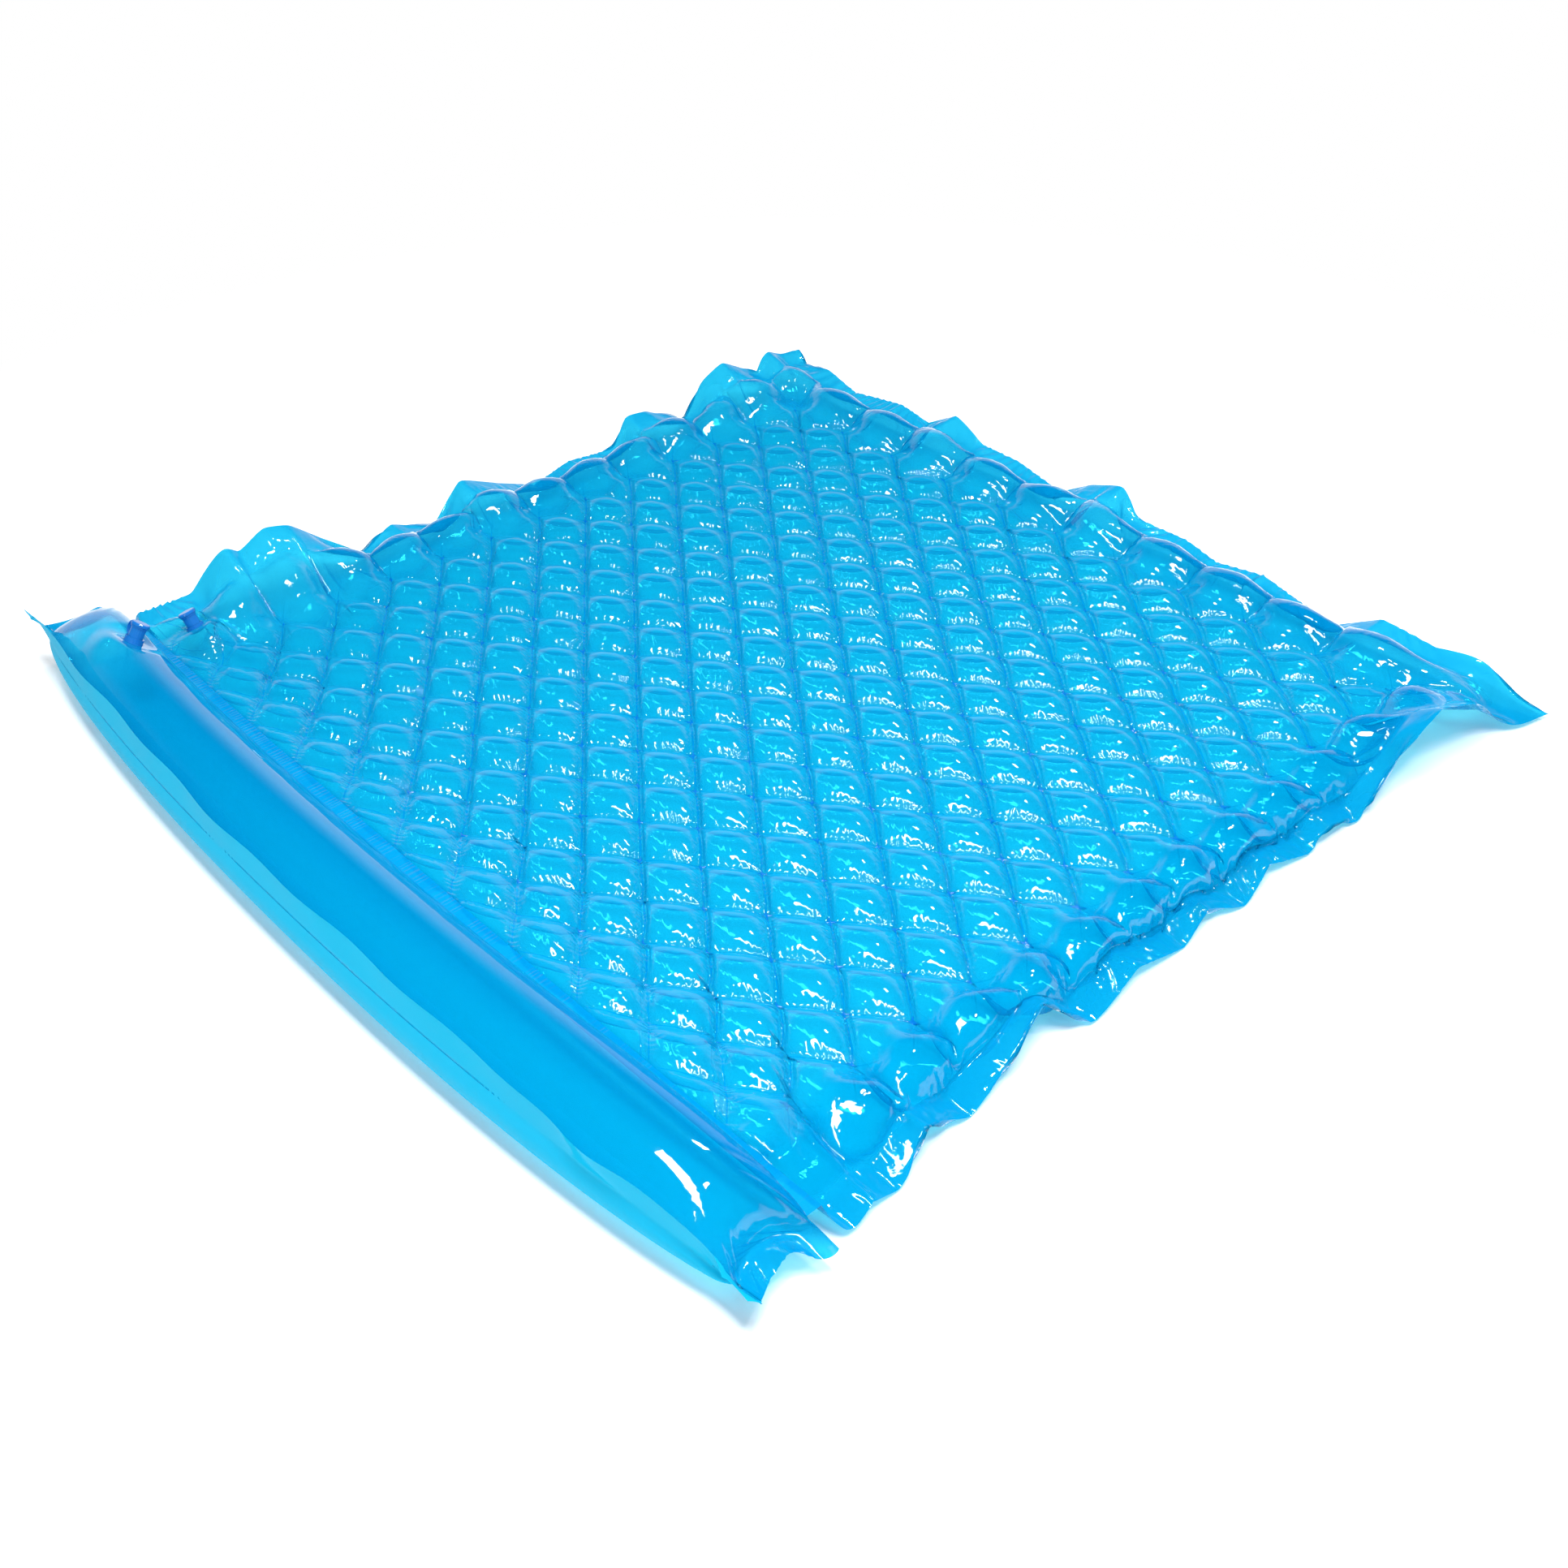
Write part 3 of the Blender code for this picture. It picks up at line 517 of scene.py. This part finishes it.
def film_mesh(name, points, places, wrinkles, upward, turned, material, body):
    """A film as one mesh of triangles, folded along the lower diagonal of each square as seen from
    inside the chamber, so that valleys stay sharp.

    places is its UV map, and turned says that the rows run the other way round. wrinkles holds, for each
    point, how quilted, how creased and how fused the film is there; on the pillow's lower front the fused
    share also carries painted light from the floor.
    """
    rows, columns = points.shape[:2]
    index = np.arange(rows * columns).reshape(rows, columns)
    a, b = index[:-1, :-1].ravel(), index[:-1, 1:].ravel()
    d, c = index[1:, :-1].ravel(), index[1:, 1:].ravel()
    height = points.reshape(-1, 3)[:, 2] * (1 if upward else -1)
    first = height[a] + height[c] <= height[b] + height[d]
    one = np.where(first[:, None], np.stack([a, b, c], -1), np.stack([a, b, d], -1))
    two = np.where(first[:, None], np.stack([a, c, d], -1), np.stack([b, c, d], -1))
    faces = np.concatenate([one, two])
    if upward == turned:
        faces = faces[:, ::-1]
    flat = points.reshape(-1, 3)
    if upward:
        flat, faces = cut_hole(flat, faces, body)
    mesh = bpy.data.meshes.new(name)
    mesh.from_pydata(flat.tolist(), [], faces.tolist())
    layer = mesh.uv_layers.new(name="lattice")
    corner = np.empty(len(mesh.loops), np.int32)
    mesh.loops.foreach_get("vertex_index", corner)
    layer.data.foreach_set("uv", places.reshape(-1, 2)[corner].astype(np.float32).ravel())
    strength = mesh.attributes.new("wrinkles", "FLOAT_VECTOR", "POINT")
    strength.data.foreach_set("vector", wrinkles.astype(np.float32).ravel())
    mesh.polygons.foreach_set("use_smooth", [True] * len(mesh.polygons))
    mesh.materials.append(material)
    mesh.update()
    piece = bpy.data.objects.new(name, mesh)
    bpy.context.scene.collection.objects.link(piece)
    return piece


def weld_marks(places):
    """The weld spots: each is a small star where both films are fused and drawn together."""
    tree = bpy.data.node_groups.new("weld spots", "GeometryNodeTree")
    tree.interface.new_socket("Geometry", in_out="INPUT", socket_type="NodeSocketGeometry")
    inputs = {}
    for label, size in WELD_SPOT_SIZES:
        socket = tree.interface.new_socket(label, in_out="INPUT", socket_type="NodeSocketFloat")
        inputs[label] = (socket.identifier, size)
    tree.interface.new_socket("Geometry", in_out="OUTPUT", socket_type="NodeSocketGeometry")
    given = add_node(tree, "NodeGroupInput")
    ball = add_node(tree, "GeometryNodeMeshUVSphere", {"Segments": 10, "Rings": 6, "Radius": 1.0})
    star = add_node(tree, "GeometryNodeJoinGeometry")
    arm = ("Arm length", "Arm width")
    for (length, width), turn in ((arm, 0.65), (arm, -0.65), (("Core", "Core"), 0)):
        sizes = [given.outputs[label] for label in (length, width, "Thickness")]
        size = add_node(tree, "ShaderNodeCombineXYZ", dict(enumerate(sizes)))
        shape = add_node(tree, "GeometryNodeTransform",
                         {"Geometry": ball.outputs["Mesh"], "Scale": size.outputs[0],
                          "Rotation": (0, 0, turn)})
        tree.links.new(shape.outputs[0], star.inputs[0])
    twist = add_node(tree, "FunctionNodeRandomValue",
                     {0: (-0.2, -0.2, -0.35), 1: (0.2, 0.2, 0.35), "Seed": 3}, data_type="FLOAT_VECTOR")
    grow = add_node(tree, "FunctionNodeRandomValue", {2: 0.75, 3: 1.2, "Seed": 5}, data_type="FLOAT")
    spots = add_node(tree, "GeometryNodeInstanceOnPoints",
                     {"Points": given.outputs[0], "Instance": star.outputs[0],
                      "Rotation": twist.outputs[0], "Scale": grow.outputs[1]})
    real = add_node(tree, "GeometryNodeRealizeInstances", {0: spots.outputs[0]})
    painted = add_node(tree, "GeometryNodeSetMaterial",
                       {"Geometry": real.outputs[0], "Material": fused_film("fused blue PVC")})
    add_node(tree, "NodeGroupOutput", {0: painted.outputs[0]})

    mesh = bpy.data.meshes.new("weld places")
    mesh.from_pydata(places.tolist(), [], [])
    holder = bpy.data.objects.new("weld places", mesh)
    bpy.context.scene.collection.objects.link(holder)
    modifier = holder.modifiers.new("weld spots", "NODES")
    modifier.node_group = tree
    for identifier, size in inputs.values():
        modifier[identifier] = size
    baked = bpy.data.meshes.new_from_object(holder.evaluated_get(bpy.context.evaluated_depsgraph_get()))
    bpy.data.objects.remove(holder)
    for polygon in baked.polygons:
        polygon.use_smooth = True
    piece = bpy.data.objects.new("mat_weld_spots", baked)
    bpy.context.scene.collection.objects.link(piece)
    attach(piece, "mat")


# Materials

def add_node(tree, kind, inputs=(), **settings):
    """A node with its settings; an input is given a value, or the socket that feeds it."""
    node = tree.nodes.new(kind)
    for key, value in settings.items():
        setattr(node, key, value)
    for key, value in dict(inputs).items():
        if isinstance(value, bpy.types.NodeSocket):
            tree.links.new(value, node.inputs[key])
        else:
            node.inputs[key].default_value = value
    return node


def new_material(name):
    material = bpy.data.materials.new(name)
    material.use_nodes = True
    material.node_tree.nodes.clear()
    return material, material.node_tree


def pleats(tree, across, along, phase):
    """Small waves that run across a valley: the film is longer than the valley it is drawn into.
    About nine waves fill the 44 mm between two weld spots."""
    valley = add_node(tree, "ShaderNodeMath", {0: across, 1: 0.5}, operation="PINGPONG")
    near = add_node(tree, "ShaderNodeMapRange",
                    {"Value": valley.outputs[0], "From Max": 0.26, "To Min": 1.0, "To Max": 0.0},
                    interpolation_type="SMOOTHSTEP")
    turns = add_node(tree, "ShaderNodeMath", {0: along, 1: tau * 9.0, 2: phase}, operation="MULTIPLY_ADD")
    wave = add_node(tree, "ShaderNodeMath", {0: turns.outputs[0]}, operation="SINE")
    both = add_node(tree, "ShaderNodeMath", {0: wave.outputs[0], 1: near.outputs[0]}, operation="MULTIPLY")
    return both.outputs[0]


def film_wrinkles(tree, quilted, creased):
    """Bump, in millimetres: pleats across the valleys, 0.06 to 0.26 mm high in patches, and loose
    creases about 18 mm apart where the film is slack."""
    place = add_node(tree, "ShaderNodeUVMap", uv_map="lattice")
    lattice = add_node(tree, "ShaderNodeSeparateXYZ", {0: place.outputs[0]})
    drift = add_node(tree, "ShaderNodeTexNoise", {"Vector": place.outputs[0], "Scale": 2.3, "Detail": 1.0})
    phase = add_node(tree, "ShaderNodeMath", {0: drift.outputs["Fac"], 1: 16.0}, operation="MULTIPLY")
    patch = add_node(tree, "ShaderNodeTexNoise", {"Vector": place.outputs[0], "Scale": 1.7, "Detail": 0.0})
    depth = add_node(tree, "ShaderNodeMapRange",
                     {"Value": patch.outputs["Fac"], "From Min": 0.3, "From Max": 0.7,
                      "To Min": 0.06, "To Max": 0.26})
    one = pleats(tree, lattice.outputs[0], lattice.outputs[1], phase.outputs[0])
    two = pleats(tree, lattice.outputs[1], lattice.outputs[0], phase.outputs[0])
    both = add_node(tree, "ShaderNodeMath", {0: one, 1: two}, operation="ADD").outputs[0]
    quilt = add_node(tree, "ShaderNodeMath", {0: quilted, 1: depth.outputs[0]}, operation="MULTIPLY")
    pleated = add_node(tree, "ShaderNodeMath", {0: both, 1: quilt.outputs[0]}, operation="MULTIPLY")
    body = add_node(tree, "ShaderNodeTexCoord")
    crease = add_node(tree, "ShaderNodeTexNoise",
                      {"Vector": body.outputs["Object"], "Scale": 55.0, "Detail": 2.0, "Distortion": 0.8})
    loose = add_node(tree, "ShaderNodeMath", {0: crease.outputs["Fac"], 1: 1.1}, operation="MULTIPLY")
    height = add_node(tree, "ShaderNodeMath", {0: loose.outputs[0], 1: creased, 2: pleated.outputs[0]},
                      operation="MULTIPLY_ADD").outputs[0]
    bump = add_node(tree, "ShaderNodeBump", {"Height": height, "Distance": 0.001, "Strength": 1.0})
    return bump.outputs[0]


def painted_valley_shade(tree):
    """Painted shade along the bottoms of the valleys, about 2 mm wide: a mask that makes the film deeper
    blue and less see-through there.
    """
    place = add_node(tree, "ShaderNodeUVMap", uv_map="lattice")
    drift = add_node(tree, "ShaderNodeTexNoise", {"Vector": place.outputs[0], "Scale": 2.6, "Detail": 1.0})
    wander = add_node(tree, "ShaderNodeVectorMath", {0: drift.outputs["Color"], 1: (0.5, 0.5, 0.5)},
                      operation="SUBTRACT")
    moved = add_node(tree, "ShaderNodeVectorMath",
                     {0: wander.outputs[0], 1: (0.03, 0.03, 0), 2: place.outputs[0]},
                     operation="MULTIPLY_ADD")
    lattice = add_node(tree, "ShaderNodeSeparateXYZ", {0: moved.outputs[0]})
    one = add_node(tree, "ShaderNodeMath", {0: lattice.outputs[0], 1: 0.5}, operation="PINGPONG").outputs[0]
    two = add_node(tree, "ShaderNodeMath", {0: lattice.outputs[1], 1: 0.5}, operation="PINGPONG").outputs[0]
    nearest = add_node(tree, "ShaderNodeMath", {0: one, 1: two}, operation="MINIMUM")
    line = add_node(tree, "ShaderNodeMapRange",
                    {"Value": nearest.outputs[0], "From Min": 0.004, "From Max": 0.02,
                     "To Min": 1.0, "To Max": 0.0}, interpolation_type="SMOOTHSTEP")
    return line.outputs[0]


def clear_film(name):
    """Calendered clear PVC film, about 0.2 mm thick: it tints the light that passes, more at a slant,
    and mirrors what is around it in its smooth surface. Where two films are fused, there is one surface less
    to mirror, and the film is paler. The same pale, less mirroring share is painted on the pillow's lower
    front as light from the floor."""
    material, tree = new_material(name)
    strength = add_node(tree, "ShaderNodeAttribute", attribute_name="wrinkles")
    shares = add_node(tree, "ShaderNodeSeparateXYZ", {0: strength.outputs["Vector"]})
    # fused also carries painted light from the floor on the pillow's lower front
    quilted, creased, fused = shares.outputs
    normal = film_wrinkles(tree, quilted, creased)
    # painted shade along the valleys of the quilted cells, and over the weld strip
    valley = add_node(tree, "ShaderNodeMath", {0: painted_valley_shade(tree), 1: quilted}, operation="MULTIPLY")
    valley = valley.outputs[0]
    facing = add_node(tree, "ShaderNodeLayerWeight", {"Blend": 0.5})
    slant = add_node(tree, "ShaderNodeMath", {0: facing.outputs["Facing"], 1: 2.2}, operation="POWER")
    slant = slant.outputs[0]
    tint = add_node(tree, "ShaderNodeMix",
                    {"Factor": slant, 6: linear("#81F1F8"), 7: linear("#19BCE7")}, data_type="RGBA")
    through = add_node(tree, "ShaderNodeBsdfTransparent", {"Color": tint.outputs[2]})
    # the film's own blue, by where it is, with painted shade along the valleys and over the weld strip
    colour = linear("#008CC8")
    for part, other in ((quilted, "#12A4D2"), (fused, "#12ACD4"), (valley, "#0082C2")):
        colour = add_node(tree, "ShaderNodeMix", {"Factor": part, 6: colour, 7: linear(other)},
                          data_type="RGBA").outputs[2]
    body = add_node(tree, "ShaderNodeBsdfPrincipled",
                    {"Base Color": colour, "Roughness": 0.3, "Specular IOR Level": 0.0, "Normal": normal})
    # how much of the film's own blue shows, against what lies behind it; more of it in the painted valley
    # shade
    share = add_node(tree, "ShaderNodeMapRange", {"Value": slant, "To Min": 0.28, "To Max": 0.9}).outputs[0]
    share = add_node(tree, "ShaderNodeMath", {0: fused, 1: 0.5, 2: share}, operation="MULTIPLY_ADD")
    share = add_node(tree, "ShaderNodeMath", {0: valley, 1: 0.22, 2: share.outputs[0]},
                     operation="MULTIPLY_ADD", use_clamp=True).outputs[0]
    mixed = add_node(tree, "ShaderNodeMixShader", {0: share, 1: through.outputs[0], 2: body.outputs[0]})
    # how much it mirrors: 3.8 % face on, as PVC does, and most of the light at a grazing angle
    edge_on = add_node(tree, "ShaderNodeLayerWeight", {"Blend": 0.5, "Normal": normal})
    steep = add_node(tree, "ShaderNodeMath", {0: edge_on.outputs["Facing"], 1: 5.0}, operation="POWER")
    grazing = add_node(tree, "ShaderNodeMapRange", {"Value": quilted, "To Min": 0.9, "To Max": 0.5})
    mirror = add_node(tree, "ShaderNodeMath", {0: steep.outputs[0], 1: grazing.outputs[0], 2: 0.038},
                      operation="MULTIPLY_ADD").outputs[0]
    fewer = add_node(tree, "ShaderNodeMapRange", {"Value": fused, "To Min": 1.0, "To Max": 0.12})
    mirror = add_node(tree, "ShaderNodeMath", {0: mirror, 1: fewer.outputs[0]}, operation="MULTIPLY")
    gloss = add_node(tree, "ShaderNodeBsdfGlossy",
                     {"Color": (1, 1, 1, 1), "Roughness": 0.035, "Normal": normal})
    whole = add_node(tree, "ShaderNodeMixShader",
                     {0: mirror.outputs[0], 1: mixed.outputs[0], 2: gloss.outputs[0]})
    add_node(tree, "ShaderNodeOutputMaterial", {"Surface": whole.outputs[0]})
    return material


def soft_plastic(name, deep, pale, roughness, share):
    """Blue PVC that lets some light through, with a soft gloss, and uneven in colour every 5 mm."""
    material, tree = new_material(name)
    place = add_node(tree, "ShaderNodeTexCoord")
    cloud = add_node(tree, "ShaderNodeTexNoise",
                     {"Vector": place.outputs["Object"], "Scale": 180.0, "Detail": 2.0})
    colour = add_node(tree, "ShaderNodeMix",
                      {"Factor": cloud.outputs["Fac"], 6: linear(deep), 7: linear(pale)},
                      data_type="RGBA").outputs[2]
    through = add_node(tree, "ShaderNodeBsdfTransparent", {"Color": linear("#2CA8F0")})
    body = add_node(tree, "ShaderNodeBsdfPrincipled",
                    {"Base Color": colour, "Roughness": roughness, "IOR": 1.52, "Coat Weight": 0.4})
    mixed = add_node(tree, "ShaderNodeMixShader", {0: share, 1: through.outputs[0], 2: body.outputs[0]})
    add_node(tree, "ShaderNodeOutputMaterial", {"Surface": mixed.outputs[0]})
    return material


def soft_moulding(name):
    """The valves: soft injection-moulded PVC, 1 to 2 mm thick, of a deeper blue than the film."""
    return soft_plastic(name, "#1270C6", "#1C86D8", 0.28, 0.75)


def fused_film(name):
    """Where both films are fused they are thicker, and look deeper blue."""
    return soft_plastic(name, "#0060B4", "#007CCB", 0.12, 0.85)


def white_floor():
    """Matt white paper that keeps the shadow near the mattress and is plain white further out."""
    material, tree = new_material("white studio paper")
    paper = add_node(tree, "ShaderNodeBsdfDiffuse", {"Color": linear("#FCFCFC")})
    glow = add_node(tree, "ShaderNodeEmission", {"Color": (1, 1, 1, 1), "Strength": 1.0})
    place = add_node(tree, "ShaderNodeTexCoord")
    out = add_node(tree, "ShaderNodeVectorMath", {0: place.outputs["Object"]}, operation="LENGTH")
    far = add_node(tree, "ShaderNodeMapRange",
                   {"Value": out.outputs["Value"], "From Min": 0.75, "From Max": 1.1}).outputs[0]
    rays = add_node(tree, "ShaderNodeLightPath")
    seen = add_node(tree, "ShaderNodeMath",
                    {0: rays.outputs["Is Camera Ray"], 1: rays.outputs["Is Glossy Ray"]},
                    operation="MAXIMUM")
    share = add_node(tree, "ShaderNodeMath", {0: far, 1: seen.outputs[0]}, operation="MULTIPLY")
    mixed = add_node(tree, "ShaderNodeMixShader",
                     {0: share.outputs[0], 1: paper.outputs[0], 2: glow.outputs[0]})
    add_node(tree, "ShaderNodeOutputMaterial", {"Surface": mixed.outputs[0]})
    return material


# The studio

def place_camera():
    """The photograph's viewpoint, found from the lattice of weld spots."""
    camera = bpy.data.cameras.new("camera")
    camera.lens = 41.306
    camera.sensor_width = 36
    camera.dof.use_dof = False
    holder = bpy.data.objects.new("camera", camera)
    bpy.context.scene.collection.objects.link(holder)
    ahead = Vector((-0.59704, 0.52157, -0.60952)).normalized()
    right = Vector((0.66932, 0.74270, -0.02009))
    right = (right - ahead * right.dot(ahead)).normalized()
    up = right.cross(ahead)
    turn = Matrix((right, up, -ahead)).transposed().to_4x4()
    holder.matrix_world = Matrix.Translation((0.9127, -0.7718, 0.8380)) @ turn
    bpy.context.scene.camera = holder


def softbox(name, place, aim, size, strength):
    """A square lamp; strength is the brightness of its face."""
    lamp = bpy.data.lights.new(name, "AREA")
    lamp.shape = "RECTANGLE"
    lamp.size, lamp.size_y = size
    lamp.energy = strength * size[0] * size[1] * pi
    holder = bpy.data.objects.new(name, lamp)
    bpy.context.scene.collection.objects.link(holder)
    holder.location = place
    holder.rotation_mode = "QUATERNION"
    holder.rotation_quaternion = (Vector(aim) - Vector(place)).to_track_quat("-Z", "Y")


def light_studio():
    """Three lamps, and a world that is white to the camera, grey to the object, and that a smooth
    surface mirrors as a blue room with a bright wall behind the mattress."""
    softbox("strip light", (0.60, -0.55, 1.64), (0.60, -0.15, 0), (0.95, 0.28), 40)
    softbox("front softbox", (0.95, -0.05, 1.7), (0, 0, 0), (0.16, 0.16), 70)
    softbox("rear softbox", (0.05, 0.9, 1.6), (0, 0, 0), (0.18, 0.18), 70)
    world = bpy.data.worlds.new("studio")
    world.use_nodes = True
    tree = world.node_tree
    tree.nodes.clear()
    place = add_node(tree, "ShaderNodeTexCoord")
    height = add_node(tree, "ShaderNodeSeparateXYZ", {0: place.outputs["Generated"]})
    low = add_node(tree, "ShaderNodeMapRange",
                   {"Value": height.outputs["Z"], "From Min": 0.15, "From Max": 0.5,
                    "To Min": 1.0, "To Max": 0.0}, interpolation_type="SMOOTHSTEP")
    towards = add_node(tree, "ShaderNodeVectorMath",
                       {0: place.outputs["Generated"], 1: (-0.75, 0.66, 0)}, operation="DOT_PRODUCT")
    behind = add_node(tree, "ShaderNodeMapRange",
                      {"Value": towards.outputs["Value"], "From Min": 0.2, "From Max": 0.85},
                      interpolation_type="SMOOTHSTEP")
    bright = add_node(tree, "ShaderNodeMath", {0: low.outputs[0], 1: behind.outputs[0]},
                      operation="MULTIPLY")
    mirrored = add_node(tree, "ShaderNodeMix",
                        {"Factor": bright.outputs[0], 6: linear("#0086AA"), 7: linear("#F9F7FF")},
                        data_type="RGBA").outputs[2]
    rays = add_node(tree, "ShaderNodeLightPath").outputs
    lit = add_node(tree, "ShaderNodeMix",
                   {"Factor": rays["Is Glossy Ray"], 6: linear("#DADADA"), 7: mirrored},
                   data_type="RGBA").outputs[2]
    seen = add_node(tree, "ShaderNodeMix", {"Factor": rays["Is Camera Ray"], 6: lit, 7: (1, 1, 1, 1)},
                    data_type="RGBA").outputs[2]
    sky = add_node(tree, "ShaderNodeBackground", {"Color": seen, "Strength": 1.0})
    add_node(tree, "ShaderNodeOutputWorld", {"Surface": sky.outputs[0]})
    bpy.context.scene.world = world
    bpy.ops.mesh.primitive_plane_add(size=30)
    floor = bpy.context.object
    floor.name = "studio floor"
    floor.data.materials.append(white_floor())


def main():
    film = clear_film("clear blue PVC film")
    for body, work_out, turned in (("mat", mat_films, False), ("pillow", pillow_films, True)):
        films, places, wrinkles, marks = work_out()
        # both films of a chamber meet at their rim, and lie a film's thickness apart elsewhere
        apart = np.full(films.shape[1:3], REAL_FILM / 2)
        apart[0], apart[-1], apart[:, 0], apart[:, -1] = 0, 0, 0, 0
        for k, name, upward in ((0, "top", True), (1, "bottom", False)):
            points = films[k].copy()
            points[..., 2] += apart if upward else -apart
            piece = film_mesh(f"{body}_{name}_film", points, places, wrinkles[k], upward, turned, film, body)
            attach(piece, body)
            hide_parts(f"{body}_{name}_sheet")
        if marks is not None:
            weld_marks(marks)
    weld_strip(film)
    moulding = soft_moulding("blue moulded PVC")
    for name, node in frame["nodes"].items():
        if "valve" in name:
            node.data.materials.clear()
            node.data.materials.append(moulding)
    place_camera()
    light_studio()
    bpy.context.scene.view_settings.view_transform = "Standard"


main()
